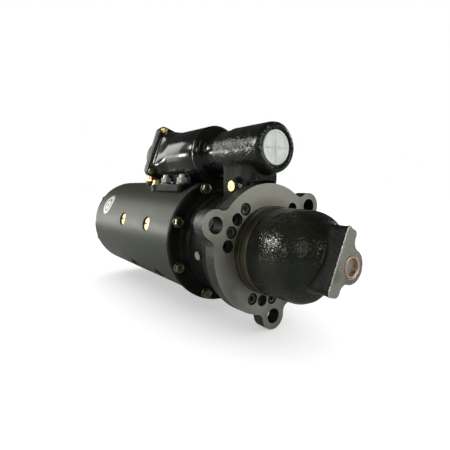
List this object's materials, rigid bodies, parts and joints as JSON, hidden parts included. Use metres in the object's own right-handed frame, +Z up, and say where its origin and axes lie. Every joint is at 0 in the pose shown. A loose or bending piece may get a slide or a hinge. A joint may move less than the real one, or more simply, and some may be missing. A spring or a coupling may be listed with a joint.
{
  "type": "starter motor",
  "caption": "Heavy-duty engine starter motor: long motor body, solenoid on top, three-lobed nose housing with a sliding pinion driven through an overrunning clutch.",
  "frame": {"origin": "centre of the nose housing's mounting face, on the shaft axis", "axes": "+X along the shaft towards the nose, +Z up through the solenoid, +Y to the pinion-window side"},
  "size_m": [0.4643, 0.1554, 0.2349],
  "materials": {
    "frame_paint": "semi-gloss",
    "black_paint": "gloss",
    "cast_paint": "gloss over rough casting",
    "machined_iron": "machined",
    "steel": "ground",
    "dark_steel": "black oxide",
    "yellow_zinc": "yellow zinc plate",
    "silver_zinc": "bright zinc plate",
    "bronze": "oiled bearing bronze",
    "brass": "bright",
    "copper": "satin copper",
    "winding": "varnished copper",
    "moulding": "moulded",
    "carbon": "copper-carbon",
    "gasket": "matt",
    "laminations": "stacked sheet",
    "label": "satin"
  },
  "bodies": {
    "root": {"field_frame": "frame_paint", "pole_shoes": "laminations", "pole_screws": "yellow_zinc", "field_coils": "winding", "end_cap": "black_paint", "end_cap_bolts": "yellow_zinc", "brush_plate": "moulding", "brushes": "carbon", "brush_springs": "steel", "rear_bushing": "bronze", "centre_plate": "machined_iron", "centre_bushing": "bronze", "lever_housing": "cast_paint", "lever_housing_bolts": "yellow_zinc", "lever_housing_washers": "yellow_zinc", "nose_housing": "machined_iron", "nose_screws": "dark_steel", "nose_bushing": "bronze", "access_plug": "silver_zinc", "snap_ring": "dark_steel", "lever_pivot": "brass", "housing_plug": "dark_steel", "label_disc": "label", "solenoid_case": "black_paint", "solenoid_front_ring": "black_paint", "solenoid_winding": "winding", "plunger_sleeve": "brass", "solenoid_core": "steel", "cap_gasket": "gasket", "solenoid_cap": "moulding", "cap_screws": "yellow_zinc", "main_terminals": "copper", "switch_terminals": "brass", "terminal_nuts": "yellow_zinc", "switch_nuts": "yellow_zinc", "solenoid_bracket": "black_paint", "bracket_studs": "silver_zinc", "bracket_nuts": "silver_zinc", "bracket_washers": "yellow_zinc", "field_terminal": "brass", "terminal_insulator": "moulding", "motor_strap": "copper", "earth_screw": "brass", "return_spring": "steel"},
    "armature": {"armature_shaft": "steel", "armature_core": "laminations", "armature_winding": "winding", "commutator": "copper", "shaft_collar": "steel"},
    "drive": {"clutch_shell": "steel", "drive_sleeve": "steel", "drive_spring": "steel"},
    "collar": {"shift_collar": "bronze"},
    "pinion": {"drive_pinion": "steel"},
    "lever": {"shift_lever": "machined_iron"},
    "plunger": {"plunger": "steel", "plunger_link": "steel", "contact_rod": "steel", "contact_disc": "copper"}
  },
  "joints": [
    {"name": "armature_spin", "type": "hinge", "parent": "root", "child": "armature", "pos_m": [0, 0, 0], "axis": [1, 0, 0], "continuous": true},
    {"name": "drive_slide", "type": "slide", "parent": "armature", "child": "drive", "axis": [1, 0, 0], "range_m": [0, 0.0226]},
    {"name": "pinion_freewheel", "type": "hinge", "parent": "drive", "child": "pinion", "pos_m": [0, 0, 0], "axis": [1, 0, 0], "continuous": true},
    {"name": "collar_slide", "type": "slide", "parent": "root", "child": "collar", "axis": [1, 0, 0], "range_m": [0, 0.0226]},
    {"name": "lever_swing", "type": "hinge", "parent": "root", "child": "lever", "pos_m": [-0.0264, 0, 0.0655], "axis": [0, -1, 0], "range_deg": [0, 19.87]},
    {"name": "plunger_slide", "type": "slide", "parent": "root", "child": "plunger", "axis": [-1, 0, 0], "range_m": [0, 0.01315], "stiffness_N_per_m": 1500, "springref_m": -0.01, "deforming": ["return_spring"]}
  ],
  "couplings": [
    {"joint": "collar_slide", "follows": "drive_slide", "ratio": 1},
    {"joint": "lever_swing", "follows": "drive_slide", "rad_per_m": 15.344},
    {"joint": "plunger_slide", "follows": "drive_slide", "ratio": 0.58168}
  ]
}
